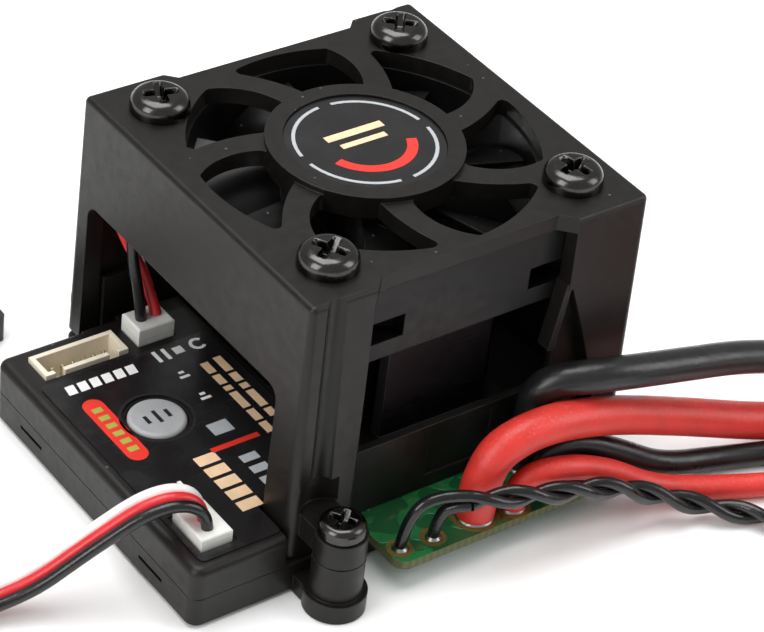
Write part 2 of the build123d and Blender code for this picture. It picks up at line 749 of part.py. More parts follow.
# ---- screws ----
head_r = 2.5
head_high = 1.6
shank_end = 20.5
recess_wide = 0.62
recess_long = 3.0
ear_head_r = 1.95
ear_head_high = 1.3
ear_shank_r = 0.95
ear_shank_end = 1.0

with BuildPart() as fan_screws:
    with BuildSketch(block_plane(shank_end)):
        with GridLocations(fan_pitch, fan_pitch, 2, 2):
            Circle(screw_r)
    extrude(amount=height - shank_end)
    with BuildSketch(block_plane(height)):
        with GridLocations(fan_pitch, fan_pitch, 2, 2):
            Circle(head_r)
    extrude(amount=head_high)
    fillet(fan_screws.faces().sort_by(Axis.Z)[-4:].edges(), 1.1)
    with BuildSketch(block_plane(height + head_high - 1.1)):
        with GridLocations(fan_pitch, fan_pitch, 2, 2):
            Rectangle(recess_long, recess_wide)
            Rectangle(recess_wide, recess_long)
    extrude(amount=2, mode=Mode.SUBTRACT)
save(fan_screws, "fan_screws")

with BuildPart() as ear_screws:
    with BuildSketch(block_plane(ear_shank_end)):
        with Locations(*ears):
            Circle(ear_shank_r)
    extrude(amount=ear_top_z - ear_shank_end)
    with BuildSketch(block_plane(ear_top_z)):
        with Locations(*ears):
            Circle(ear_head_r)
    extrude(amount=ear_head_high)
    fillet(ear_screws.faces().sort_by(Axis.Z)[-2:].edges(), 0.7)
    with BuildSketch(block_plane(ear_top_z + ear_head_high - 0.8)):
        with Locations(*ears):
            Rectangle(2.2, 0.5)
            Rectangle(0.5, 2.2)
    extrude(amount=2, mode=Mode.SUBTRACT)
save(ear_screws, "ear_screws")

# ---- the solder on the -Y strip, where the leads stand up from the board ----
battery_r = 1.65
return_r = 1.45
capacitor_lead_r = 1.05
switch_r = 1.0                         # the switch's twisted pair, taken as one round lead
strand_r = 0.5
ribbon_r = 0.45
ribbon_pitch = 1.05
solder_high = 0.3
solder_spread = 0.25
battery_foot = (4.3, -19.75)
capacitor_foot = (7.7, -20.4)
drain_foot = (10.6, -19.4)
return_foot = (11.8, -16.7)
tail_feet = ((-3.5, -20.1), (-0.35, -20.3))
solder_top = split_z + solder_high

with BuildPart() as power_solder:
    for foot, wire_r in ((battery_foot, battery_r), (capacitor_foot, capacitor_lead_r),
                         (drain_foot, capacitor_lead_r), (return_foot, return_r),
                         (tail_feet[0], strand_r), (tail_feet[1], strand_r)):
        with BuildSketch(Plane.XY.offset(split_z)):
            with Locations(foot):
                Circle(wire_r * 0.85 + solder_spread)
        with BuildSketch(Plane.XY.offset(solder_top)):
            with Locations(foot):
                Circle(wire_r * 0.85)
        loft()
save(power_solder, "power_solder")

# ---- the leads' routes, each from its solder or plug to its far end ----
plug_z = 3.2
servo_x = -22.5
servo_y = 25.5
servo_z = 1.3
can_r = 5.0
battery_route = [
    (*battery_foot, solder_top), (4.2, -19.8, 8.4), (8.3, -20.2, 10.8), (15.5, -20.3, 9.6),
    (25, -20.6, 5.9), (34.5, -21.8, 2.4), (42, -24.2, battery_r), (47.8, -29.4, battery_r),
    (50.6, -36.4, battery_r), (50.6, -43, 2.2), (49, -49, plug_z)]
return_route = [
    (*return_foot, solder_top), (11.7, -16.65, 7.8), (11.5, -17.25, 12.35), (15.9, -20.05, 13.35),
    (23.5, -20.6, 11.9), (31.5, -20.9, 10.2), (39.5, -21.6, 7.3), (47.4, -24.8, 4.2),
    (53.6, -30.8, 1.8), (56.4, -38.3, 1.5), (55.9, -44, 2.0), (54, -49, plug_z)]
capacitor_route = [
    (*capacitor_foot, solder_top), (7.6, -20.7, 6.2), (11.3, -21.75, 6.8), (16, -22.1, 4.9),
    (20.3, -23.4, 2.1), (26.5, -25.5, capacitor_lead_r), (33.5, -28.5, capacitor_lead_r),
    (38.3, -33, 1.3), (38.6, -38, 3.0), (38, -42, can_r)]
drain_route = [
    (*drain_foot, solder_top), (10.55, -19.4, 6.4), (14.2, -19.55, 6.9), (18.5, -20.6, 4.8),
    (22.8, -21.6, 2.2), (29, -22.4, capacitor_lead_r), (36, -25, capacitor_lead_r),
    (41.8, -31, 1.3), (43.6, -37, 3.0), (43, -42, can_r)]
switch_route = [
    (1.6, -22.1, 7.4), (4.9, -23.2, 7.3), (8, -23.7, 6.6), (11.3, -24.0, 5.9), (14.7, -24.4, 5.1),
    (17.2, -24.8, 4.0), (20.8, -25.9, 2.4), (24.5, -27.6, 1.1), (28.8, -31.5, switch_r),
    (30.5, -38, switch_r), (28, -45.5, switch_r), (21, -50.2, switch_r), (12, -52.4, 1.5), (4, -54, 3.0)]
receiver_route = [
    (receiver_x, receiver_y, receiver_plug_top), (-18.2, -13.0, 9.1), (-22.0, -12.0, 9.9),
    (-27.0, -10.3, 6.0), (-31.5, -8.8, 2.2), (-38, -6.8, 0.55), (-43.2, -1.3, 0.55),
    (-45.6, 6, 0.55), (-45, 13.6, 0.55), (-41.5, 20, 0.6), (-36, 24, 0.8), (-29.5, servo_y, servo_z)]
fan_red_route = [(-9.9, 13.9, fan_z), (-9.9, 13.9, 16.4), (-9.0, 13.3, 13.6), (-7.9, 11.9, 10.8),
                 (fan_plug_x + 0.75, fan_plug_y, fan_plug_top)]
fan_black_route = [(-9.0, 12.5, fan_z), (-9.1, 12.3, 16.4), (-9.6, 11.7, 13.6), (-9.3, 10.8, 10.4),
                   (fan_plug_x - 0.75, fan_plug_y, fan_plug_top)]
tail_routes = [
    [(*tail_feet[0], solder_top), (-3.2, -20.3, 6.6), (-1.0, -21.0, 8.3), (1.6, -22.1, 7.9)],
    [(*tail_feet[1], solder_top), (-0.3, -20.6, 5.7), (0.5, -21.4, 6.8), (1.6, -22.1, 6.9)]]


def beside(route, shift):
    """The same route moved sideways, in plan, by one distance."""
    moved = []
    last = len(route) - 1
    for index, (x, y, z) in enumerate(route):
        before = route[max(index - 1, 1)]
        after = route[max(min(index + 1, last), 2)]
        run = math.hypot(after[0] - before[0], after[1] - before[1])
        moved.append((x - shift * (after[1] - before[1]) / run, y + shift * (after[0] - before[0]) / run, z))
    return moved


def lead(route, wire_r):
    """A round lead: straight runs joined by the largest arcs that they allow."""
    points = [Vector(*point) for point in route]
    runs = [after - before for before, after in zip(points, points[1:])]
    radii = []
    for first, second in zip(runs, runs[1:]):
        half_turn = math.radians(first.get_angle(second) / 2)
        radii.append(0.45 * min(first.length, second.length) / math.tan(half_turn))
    with BuildPart() as tube:
        with BuildLine() as path:
            FilletPolyline(*points, radius=radii)
        with BuildSketch(Plane(origin=points[0], z_dir=runs[0])):
            Circle(wire_r)
        sweep()
    length = sum(edge.length for edge in path.edges())
    expected = math.pi * wire_r ** 2 * length
    print("length", round(length, 1), "volume", round(tube.part.volume / expected, 3),
          "lowest", round(tube.part.bounding_box().min.Z, 2), "radii", [round(radius, 1) for radius in radii])
    return tube


for label, route, wire_r in (
        ("battery_lead_red", battery_route, battery_r), ("battery_lead_black", return_route, return_r),
        ("capacitor_lead_red", capacitor_route, capacitor_lead_r),
        ("capacitor_lead_black", drain_route, capacitor_lead_r),
        ("switch_lead", switch_route, switch_r),
        ("receiver_lead_white", beside(receiver_route, -ribbon_pitch), ribbon_r),
        ("receiver_lead_red", receiver_route, ribbon_r),
        ("receiver_lead_black", beside(receiver_route, ribbon_pitch), ribbon_r),
        ("fan_lead_red", fan_red_route, strand_r), ("fan_lead_black", fan_black_route, strand_r)):
    print(label)
    save(lead(route, wire_r), label)

with BuildPart() as switch_tails:
    for route in tail_routes:
        add(lead(route, strand_r).part)
save(switch_tails, "switch_tails")

# ---- what the leads end in ----
plug_x = 51.5
plug_face = -49.0
plug_size = (11.2, 14.0, 6.4)
blade_long = 7.0

with BuildPart() as battery_plug:
    with BuildSketch(Plane.XZ.offset(-plug_face)):
        with Locations((plug_x, plug_z)):
            RectangleRounded(plug_size[0], plug_size[2], 1.2)
    extrude(amount=plug_size[1])
    for x, wide, tall in ((plug_x - 2.6, 1.3, 4.6), (plug_x + 2.4, 4.6, 1.3)):
        with BuildSketch(Plane.XZ.offset(-plug_face + plug_size[1])):
            with Locations((x, plug_z)):
                Rectangle(wide, tall)
        extrude(amount=-5, mode=Mode.SUBTRACT)
save(battery_plug, "battery_plug")

with BuildPart() as battery_plug_blades:
    for x, wide, tall in ((plug_x - 2.6, 1.3, 4.6), (plug_x + 2.4, 4.6, 1.3)):
        with BuildSketch(Plane.XZ.offset(-plug_face + plug_size[1] - 5)):
            with Locations((x, plug_z)):
                Rectangle(wide - 0.1, tall - 0.1)
        extrude(amount=5 + blade_long)
    chamfer(battery_plug_blades.faces().sort_by(Axis.Y)[:2].edges(), 0.3)
save(battery_plug_blades, "battery_plug_blades")

can_x = 40.5
can_face = -42.0
can_long = 16.0
sleeve = 0.2

with BuildPart() as capacitor_bung:
    with BuildSketch(Plane.XZ.offset(-can_face)):
        with Locations((can_x, can_r)):
            Circle(can_r - 0.8)
    extrude(amount=1.0)
save(capacitor_bung, "capacitor_bung")

with BuildPart() as power_capacitor:
    with BuildSketch(Plane.XZ.offset(-can_face + 1.0)):
        with Locations((can_x, can_r)):
            Circle(can_r - sleeve)
    extrude(amount=can_long - 1.0)
    fillet(power_capacitor.edges(), 0.5)
save(power_capacitor, "power_capacitor")

with BuildPart() as capacitor_sleeve:
    with BuildSketch(Plane.XZ.offset(-can_face + 1.5)):
        with Locations((can_x, can_r)):
            Circle(can_r)
            Circle(can_r - sleeve, mode=Mode.SUBTRACT)
    extrude(amount=can_long - 2.0)
save(capacitor_sleeve, "capacitor_sleeve")

switch_x = -6.0
switch_y = -54.0
switch_size = (20.0, 11.0, 6.5)
shell = 1.0
slide_travel = 3.0
knob = (2.4, 3.0)
slider_z = 3.6
slider_rest = switch_x - slide_travel / 2

with BuildPart() as switch_housing:
    with BuildSketch(Plane.XY.offset(shell)):
        with Locations((switch_x, switch_y)):
            RectangleRounded(switch_size[0], switch_size[1], 1.5)
    extrude(amount=switch_size[2] - shell)
    fillet(switch_housing.faces().sort_by(Axis.Z)[-1].edges(), 0.5)
    with BuildSketch(Plane.XY.offset(shell)):
        with Locations((switch_x, switch_y)):
            Rectangle(switch_size[0] - 4 * shell, switch_size[1] - 2 * shell)
    extrude(amount=switch_size[2] - 2 * shell, mode=Mode.SUBTRACT)
    with BuildSketch(Plane.XY.offset(shell)):
        with Locations((switch_x, switch_y)):
            Rectangle(knob[0] + slide_travel + 0.3, knob[1] + 0.3)
    extrude(amount=switch_size[2], mode=Mode.SUBTRACT)
save(switch_housing, "switch_housing")

with BuildPart() as switch_base:
    with BuildSketch():
        with Locations((switch_x, switch_y)):
            RectangleRounded(switch_size[0], switch_size[1], 1.5)
    extrude(amount=shell)
save(switch_base, "switch_base")

with BuildPart() as switch_contacts:
    with BuildSketch(Plane.XY.offset(shell)):
        with Locations((switch_x, switch_y)):
            with GridLocations(5.0, 0, 3, 1):
                RectangleRounded(3.4, 2.4, 0.4)
    extrude(amount=0.6)
save(switch_contacts, "switch_contacts")

with BuildPart() as switch_slider:
    with BuildSketch(Plane.XY.offset(slider_z)):
        with Locations((slider_rest, switch_y)):
            Rectangle(8.4, 5.0)
    extrude(amount=switch_size[2] - shell - slider_z - 0.1)
    with BuildSketch(Plane.XY.offset(slider_z)):
        with Locations((slider_rest, switch_y)):
            Rectangle(*knob)
    extrude(amount=switch_size[2] + 1.8 - slider_z)
    fillet(switch_slider.faces().sort_by(Axis.Z)[-1].edges(), 0.3)
save(switch_slider, "switch_slider")

servo_long = 14.0
servo_end = servo_x + servo_long / 2

with BuildPart() as servo_plug:
    with BuildSketch():
        with Locations((servo_x, servo_y)):
            RectangleRounded(servo_long, 7.6, 0.4)
    extrude(amount=2 * servo_z)
    with BuildSketch(Plane.YZ.offset(servo_end)):
        with Locations((servo_y, servo_z)):
            with GridLocations(2.54, 0, 3, 1):
                Rectangle(1.0, 1.0)
    extrude(amount=-9.0, mode=Mode.SUBTRACT)
save(servo_plug, "servo_plug")

with BuildPart() as servo_contacts:
    with BuildSketch(Plane.YZ.offset(servo_end - 1.0)):
        with Locations((servo_y, servo_z)):
            with GridLocations(2.54, 0, 3, 1):
                Rectangle(0.9, 0.9)
                Rectangle(0.5, 0.5, mode=Mode.SUBTRACT)
    extrude(amount=-8.0)
save(servo_contacts, "servo_contacts")
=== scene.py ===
import bpy
import bmesh
import math
from mathutils import Matrix, Vector


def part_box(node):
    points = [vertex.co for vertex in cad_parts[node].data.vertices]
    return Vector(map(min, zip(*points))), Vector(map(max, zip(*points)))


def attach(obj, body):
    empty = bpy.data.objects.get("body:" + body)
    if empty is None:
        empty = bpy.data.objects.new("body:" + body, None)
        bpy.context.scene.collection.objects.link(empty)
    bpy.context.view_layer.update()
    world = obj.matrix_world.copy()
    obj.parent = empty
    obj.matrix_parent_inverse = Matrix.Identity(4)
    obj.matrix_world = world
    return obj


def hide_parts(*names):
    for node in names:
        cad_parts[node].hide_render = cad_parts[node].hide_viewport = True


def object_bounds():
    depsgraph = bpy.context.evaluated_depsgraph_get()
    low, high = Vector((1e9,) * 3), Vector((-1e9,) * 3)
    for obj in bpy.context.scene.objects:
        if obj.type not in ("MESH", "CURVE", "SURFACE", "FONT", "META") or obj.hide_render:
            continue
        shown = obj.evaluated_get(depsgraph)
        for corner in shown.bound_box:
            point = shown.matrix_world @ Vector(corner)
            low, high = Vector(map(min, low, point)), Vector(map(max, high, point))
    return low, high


# An electronic speed controller for a model car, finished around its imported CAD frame.
# Everything is in metres, in the frame's own axes: +Z up, the shelf at -X, the power leads at -Y.

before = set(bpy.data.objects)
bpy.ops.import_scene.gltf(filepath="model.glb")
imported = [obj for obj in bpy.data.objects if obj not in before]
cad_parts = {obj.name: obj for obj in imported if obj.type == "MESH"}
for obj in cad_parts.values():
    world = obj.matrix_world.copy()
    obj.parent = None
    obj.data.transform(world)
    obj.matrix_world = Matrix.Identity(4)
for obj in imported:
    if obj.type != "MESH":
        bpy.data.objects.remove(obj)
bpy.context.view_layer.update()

MM = 0.001
CASE = "case"
BUTTON = "button"


def middle(node):
    """The middle of a CAD node's box."""
    low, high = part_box(node)
    return (Vector(low) + Vector(high)) / 2


def top_of(node):
    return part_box(node)[1][2]


# ---- camera ----
EYE = Vector((-0.124306, -0.158592, 0.163178))
RIGHT = Vector((0.8087312, -0.5796284, 0.0999238)).normalized()
UP = Vector((0.2856784, 0.5355935, 0.7946870)).normalized()
LENS = 143.03


def make_camera():
    data = bpy.data.cameras.new("camera")
    data.lens = LENS
    data.sensor_width = 36.0
    data.clip_start = 0.01
    data.clip_end = 10.0
    camera = bpy.data.objects.new("camera", data)
    bpy.context.collection.objects.link(camera)
    back = RIGHT.cross(UP)
    turn = Matrix((RIGHT, UP, back)).transposed().to_4x4()
    camera.matrix_world = Matrix.Translation(EYE) @ turn
    bpy.context.scene.camera = camera


make_camera()

# ---- routes of the leads, in millimetres, from the object outwards ----
BATTERY_RED = [
    (4.3, -19.75, 3.3), (4.2, -19.8, 8.4), (8.3, -20.2, 10.8), (15.5, -20.3, 9.6), (25, -20.6, 5.9),
    (34.5, -21.8, 2.4), (42, -24.2, 1.65), (47.8, -29.4, 1.65), (50.6, -36.4, 1.65), (50.6, -43, 2.2),
    (49, -49, 3.2)]
BATTERY_BLACK = [
    (11.8, -16.7, 3.3), (11.7, -16.65, 7.8), (11.5, -17.25, 12.35), (15.9, -20.05, 13.35),
    (23.5, -20.6, 11.9), (31.5, -20.9, 10.2), (39.5, -21.6, 7.3), (47.4, -24.8, 4.2), (53.6, -30.8, 1.8),
    (56.4, -38.3, 1.5), (55.9, -44, 2.0), (54, -49, 3.2)]
CAPACITOR_RED = [
    (7.7, -20.4, 3.3), (7.6, -20.7, 6.2), (11.3, -21.75, 6.8), (16, -22.1, 4.9), (20.3, -23.4, 2.1),
    (26.5, -25.5, 1.05), (33.5, -28.5, 1.05), (38.3, -33, 1.3), (38.6, -38, 3.0), (38, -42, 5.0)]
CAPACITOR_BLACK = [
    (10.6, -19.4, 3.3), (10.55, -19.4, 6.4), (14.2, -19.55, 6.9), (18.5, -20.6, 4.8), (22.8, -21.6, 2.2),
    (29, -22.4, 1.05), (36, -25, 1.05), (41.8, -31, 1.3), (43.6, -37, 3.0), (43, -42, 5.0)]
SWITCH = [
    (1.6, -22.1, 7.4), (4.9, -23.2, 7.3), (8, -23.7, 6.6), (11.3, -24.0, 5.9), (14.7, -24.4, 5.1),
    (17.2, -24.8, 4.0), (20.8, -25.9, 2.4), (24.5, -27.6, 1.1), (28.8, -31.5, 1.0), (30.5, -38, 1.0),
    (28, -45.5, 1.0), (21, -50.2, 1.0), (12, -52.4, 1.5), (4, -54, 3.0)]
SWITCH_TAILS = [
    [(-3.5, -20.1, 3.3), (-3.2, -20.3, 6.6), (-1.0, -21.0, 8.3), (1.6, -22.1, 7.9)],
    [(-0.35, -20.3, 3.3), (-0.3, -20.6, 5.7), (0.5, -21.4, 6.8), (1.6, -22.1, 6.9)]]
RECEIVER = [
    (-18.1, -13.2, 7.0), (-18.2, -13.0, 9.1), (-22.0, -12.0, 9.9), (-27.0, -10.3, 6.0),
    (-31.5, -8.8, 2.2), (-38, -6.8, 0.55), (-43.2, -1.3, 0.55), (-45.6, 6, 0.55), (-45, 13.6, 0.55),
    (-41.5, 20, 0.6), (-36, 24, 0.8), (-29.5, 25.5, 1.3)]
FAN_RED = [(-9.9, 13.9, 18.9), (-9.9, 13.9, 16.4), (-9.0, 13.3, 13.6), (-7.9, 11.9, 10.8),
           (-7.55, 10.5, 7.5)]
FAN_BLACK = [(-9.0, 12.5, 18.9), (-9.1, 12.3, 16.4), (-9.6, 11.7, 13.6), (-9.3, 10.8, 10.4),
             (-9.05, 10.5, 7.5)]
BATTERY_RED_R = 1.65
BATTERY_BLACK_R = 1.45
CAPACITOR_R = 1.05
STRAND_R = 0.5
RIBBON_R = 0.5
RIBBON_PITCH = 1.02


def in_metres(points):
    return [Vector(point) * MM for point in points]


def beside(points, shift):
    """The same route moved sideways, in plan, by one distance."""
    moved = []
    last = len(points) - 1
    for index, (x, y, z) in enumerate(points):
        before = points[max(index - 1, 1)]
        after = points[max(min(index + 1, last), 2)]
        run = math.hypot(after[0] - before[0], after[1] - before[1])
        moved.append((x - shift * (after[1] - before[1]) / run, y + shift * (after[0] - before[0]) / run, z))
    return moved


def route_curve(name, points, radius=0.0):
    """A smooth curve guided by a route's points, as a round lead if it has a radius."""
    curve = bpy.data.curves.new(name, "CURVE")
    curve.dimensions = "3D"
    curve.resolution_u = 16
    spline = curve.splines.new("NURBS")
    spline.points.add(len(points) - 1)
    for point, place in zip(spline.points, in_metres(points)):
        point.co = (*place, 1)
    spline.order_u = 3
    spline.use_endpoint_u = True
    curve.bevel_depth = radius * MM
    curve.bevel_resolution = 6
    curve.use_fill_caps = radius > 0
    return bpy.data.objects.new(name, curve)


def round_lead(name, points, radius, nodes, material):
    lead = route_curve(name, points, radius)
    bpy.context.collection.objects.link(lead)
    lead.data.materials.append(material)
    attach(lead, CASE)
    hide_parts(*nodes)
    return lead


def centre_line(points):
    """Points along a route's smooth curve."""
    guide = route_curve("guide", points)
    bpy.context.collection.objects.link(guide)
    mesh = bpy.data.meshes.new_from_object(guide)
    line = [vertex.co.copy() for vertex in mesh.vertices]
    bpy.data.objects.remove(guide)
    bpy.data.meshes.remove(mesh)
    return line


# ---- materials: every one is worked out from the object's own coordinates ----


class Shader:
    """A material's node tree, built with short calls."""

    def __init__(self, name):
        self.material = bpy.data.materials.new(name)
        self.material.use_nodes = True
        self.nodes = self.material.node_tree.nodes
        self.links = self.material.node_tree.links
        self.surface = self.nodes["Principled BSDF"]
        self.place = self.add("ShaderNodeTexCoord").outputs["Object"]

    def feed(self, socket, value):
        if isinstance(value, bpy.types.NodeSocket):
            self.links.new(value, socket)
        else:
            socket.default_value = value

    def add(self, kind, settings=(), inputs=()):
        node = self.nodes.new(kind)
        for key, value in dict(settings).items():
            setattr(node, key, value)
        for key, value in dict(inputs).items():
            self.feed(node.inputs[key], value)
        return node

    def calc(self, operation, a, b=0.0, clamp=False):
        node = self.add("ShaderNodeMath", {"operation": operation, "use_clamp": clamp}, {0: a, 1: b})
        return node.outputs[0]

    def stretched(self, x, y, z):
        """The object's coordinates with a different scale along each axis."""
        return self.add("ShaderNodeMapping", {}, {"Vector": self.place, "Scale": (x, y, z)}).outputs[0]

    def noise(self, size, detail=3.0, place=None):
        """Cloudy noise whose patches are about size millimetres across."""
        inputs = {"Vector": place or self.place, "Scale": 1 / (size * MM), "Detail": detail}
        return self.add("ShaderNodeTexNoise", {}, inputs).outputs["Fac"]

    def cells(self, size):
        """The distance to the nearest of points strewn about size millimetres apart."""
        inputs = {"Vector": self.place, "Scale": 1 / (size * MM)}
        return self.add("ShaderNodeTexVoronoi", {}, inputs).outputs["Distance"]

    def ramp(self, value, low, high, start=0.0, end=1.0):
        inputs = {"Value": value, "From Min": low, "From Max": high, "To Min": start, "To Max": end}
        return self.add("ShaderNodeMapRange", {"clamp": True}, inputs).outputs[0]

    def mix(self, amount, first, second):
        node = self.add("ShaderNodeMix", {"data_type": "RGBA"})
        self.feed(node.inputs["Factor"], amount)
        self.feed(node.inputs[6], first)
        self.feed(node.inputs[7], second)
        return node.outputs[2]

    def shade(self, colour, value, low=0.8, high=1.2):
        """A colour made darker and lighter by a value from 0 to 1."""
        grey = self.ramp(value, 0.25, 0.75, low, high)
        scaled = self.add("ShaderNodeVectorMath", {"operation": "SCALE"}, {0: colour[:3], "Scale": grey})
        return scaled.outputs[0]

    def axis(self, name, source=None):
        split = self.add("ShaderNodeSeparateXYZ", {}, {0: source or self.place})
        return split.outputs[name]

    def facing(self, name):
        """How far a face looks along an axis, from -1 to 1."""
        return self.axis(name, self.add("ShaderNodeNewGeometry").outputs["True Normal"])

    def rounding(self, radius):
        return self.add("ShaderNodeBevel", {"samples": 4}, {"Radius": radius * MM}).outputs[0]

    def edges(self, radius):
        """1 along the sharp edges, within radius millimetres, and 0 on the flats."""
        flat = self.add("ShaderNodeNewGeometry").outputs["Normal"]
        round_normal = self.rounding(radius)
        dot = self.add("ShaderNodeVectorMath", {"operation": "DOT_PRODUCT"}, {0: flat, 1: round_normal})
        return self.ramp(dot.outputs["Value"], 0.97, 0.8)

    def bump(self, height, depth, normal=None):
        inputs = {"Height": height, "Distance": depth * MM, "Strength": 1.0}
        if normal is not None:
            inputs["Normal"] = normal
        return self.add("ShaderNodeBump", {}, inputs).outputs[0]

    def finish(self, **values):
        for key, value in values.items():
            socket = self.surface.inputs[key.replace("_", " ")]
            if isinstance(value, tuple) and len(value) == 3 and len(socket.default_value) == 4:
                value = (*value, 1.0)
            self.feed(socket, value)
        return self.material


def toned(colour, gain, lift=0.0):
    """A colour scaled and lifted, with an opaque alpha."""
    return (*[min(1.0, gain * channel + lift) for channel in colour], 1)


def moulded(name, colour, gloss, grain=0.5, edge_wear_and_highlight=0.5, softness=0.12, **extra):
    """Moulded plastic: spark-eroded grain, faint flow marks, dust specks on faces that look up, and edges
    lightened as rubbed wear and as a painted highlight.
    """
    shader = Shader(name)
    flow = shader.noise(6.0, 4.0)
    mottle = shader.noise(0.9, 3.0)
    # Edges are lightened in patches: partly rubbed wear, partly a painted edge highlight.
    edge_mask = shader.edges(softness)
    wear_and_highlight_edge = shader.calc("MULTIPLY", edge_mask, shader.ramp(shader.noise(1.6), 0.35, 0.65, 0.3, 1.0))
    base = shader.shade(colour, flow, 0.86, 1.14)
    base = shader.mix(shader.ramp(mottle, 0.4, 0.75, 0.0, 0.3), base, toned(colour, 1.25))
    base = shader.mix(shader.calc("MULTIPLY", wear_and_highlight_edge, edge_wear_and_highlight), base, toned(colour, 1.25, 0.035))
    speck = shader.ramp(shader.cells(1.7), 0.075, 0.05, 0.0, 0.35)
    lying = shader.ramp(shader.facing("Z"), 0.6, 0.95)
    base = shader.mix(shader.calc("MULTIPLY", speck, lying), base, (0.25, 0.24, 0.22, 1))
    rough = shader.calc("ADD", shader.ramp(mottle, 0.3, 0.7, gloss - 0.05, gloss + 0.07),
                        shader.calc("MULTIPLY", wear_and_highlight_edge, -0.08), True)
    pits = shader.calc("ADD", shader.noise(0.16, 2.0), shader.calc("MULTIPLY", flow, 0.6))
    normal = shader.bump(pits, 0.02 * grain, shader.rounding(softness))
    return shader.finish(Base_Color=base, Roughness=rough, Normal=normal, **extra)


def metal(name, colour, gloss, grain=(1, 1, 1), tarnish=(0.3, 0.25, 0.2), softness=0.08, scratch=0.25):
    """Plated or bare metal: fine drawn scratches, a little tarnish, and edges painted brighter as worn metal
    and as a painted highlight.
    """
    shader = Shader(name)
    drawn = shader.noise(0.12, 3.0, shader.stretched(*grain))
    patch = shader.noise(1.1, 4.0)
    base = shader.mix(shader.ramp(patch, 0.45, 0.75, 0.0, 0.35), (*colour, 1), (*tarnish, 1))
    # Edges painted brighter: partly worn metal, partly a painted edge highlight.
    base = shader.mix(shader.calc("MULTIPLY", shader.edges(softness), 0.6), base, toned(colour, 1.5, 0.1))
    rough = shader.calc("ADD", shader.ramp(drawn, 0.3, 0.7, gloss - 0.06, gloss + 0.1),
                        shader.ramp(patch, 0.5, 0.8, 0.0, 0.12), True)
    normal = shader.bump(drawn, 0.01 * scratch, shader.rounding(softness))
    return shader.finish(Base_Color=base, Roughness=rough, Metallic=1.0, Normal=normal)


def jacket(name, colour, gloss, dust=0.25, **extra):
    """A lead's extruded jacket: long die lines, small blooms and a little dust on top."""
    shader = Shader(name)
    bloom = shader.noise(2.2, 4.0)
    fine = shader.noise(0.25, 2.0)
    base = shader.shade(colour, bloom, 0.86, 1.12)
    powder = shader.calc("MULTIPLY", shader.ramp(fine, 0.55, 0.8, 0.0, dust),
                         shader.ramp(shader.facing("Z"), 0.0, 0.9))
    base = shader.mix(powder, base, toned(colour, 0.5, 0.3))
    rough = shader.ramp(bloom, 0.3, 0.7, gloss - 0.06, gloss + 0.08)
    lumps = shader.calc("ADD", shader.noise(0.7, 2.0), shader.calc("MULTIPLY", fine, 0.25))
    return shader.finish(Base_Color=base, Roughness=rough, Normal=shader.bump(lumps, 0.03), **extra)


def board_mask(name):
    """Solder mask over copper: broad pours, thin tracks and vias, with bare laminate on the cut edges."""
    shader = Shader(name)
    pour = shader.ramp(shader.noise(2.6, 1.0), 0.49, 0.51)
    via = shader.ramp(shader.cells(1.25), 0.17, 0.13)
    copper = shader.calc("MAXIMUM", pour, via, True)
    base = shader.mix(copper, (0.008, 0.085, 0.025, 1), (0.014, 0.165, 0.045, 1))
    base = shader.mix(shader.ramp(shader.noise(1.3, 3.0), 0.45, 0.8, 0.0, 0.5), base, (0.01, 0.05, 0.02, 1))
    flux = shader.ramp(shader.noise(1.7, 3.0), 0.6, 0.72, 0.0, 0.45)
    base = shader.mix(flux, base, (0.16, 0.15, 0.05, 1))
    weave = shader.calc("ADD", shader.calc("SINE", shader.calc("MULTIPLY", shader.axis("X"), 9000.0)),
                        shader.calc("SINE", shader.calc("MULTIPLY", shader.axis("Z"), 30000.0)))
    laminate = shader.mix(shader.ramp(weave, -1.0, 1.0), (0.06, 0.075, 0.025, 1), (0.13, 0.13, 0.05, 1))
    side = shader.ramp(shader.calc("ABSOLUTE", shader.facing("Z")), 0.5, 0.3)
    base = shader.mix(side, base, laminate)
    rough = shader.mix(side, (0.3, 0.3, 0.3, 1), (0.75, 0.75, 0.75, 1))
    height = shader.calc("ADD", copper, shader.calc("MULTIPLY", shader.noise(0.3), 0.4))
    normal = shader.bump(height, 0.03, shader.rounding(0.08))
    return shader.finish(Base_Color=base, Roughness=rough, Normal=normal)


def printed_film(name, colour, gloss=0.22):
    """A glossy printed film: faint orange peel, hairline scuffs and a dulled patch or two."""
    shader = Shader(name)
    peel = shader.noise(0.7, 2.0)
    hair = shader.ramp(shader.noise(0.1, 1.0, shader.stretched(0.06, 1.0, 1.0)), 0.66, 0.72)
    base = shader.shade(colour, shader.noise(5.0, 3.0), 0.9, 1.1)
    base = shader.mix(shader.calc("MULTIPLY", hair, 0.008), base, (0.5, 0.5, 0.5, 1))
    rough = shader.calc("ADD", shader.ramp(shader.noise(3.0, 4.0), 0.4, 0.7, gloss, gloss + 0.12),
                        shader.calc("MULTIPLY", hair, 0.03), True)
    return shader.finish(Base_Color=base, Roughness=rough, Normal=shader.bump(peel, 0.004))


def ink(name, colour):
    """Screen-printed ink: a slightly uneven layer that thins to the film under it in pinholes."""
    shader = Shader(name)
    thin = shader.ramp(shader.noise(0.18, 2.0), 0.62, 0.75, 0.0, 0.4)
    layer = shader.shade(colour, shader.noise(0.9), 0.92, 1.08)
    base = shader.mix(thin, layer, toned(colour, 0.6))
    return shader.finish(Base_Color=base, Roughness=shader.ramp(thin, 0.0, 0.4, 0.35, 0.5),
                         Normal=shader.bump(shader.noise(0.12), 0.004))


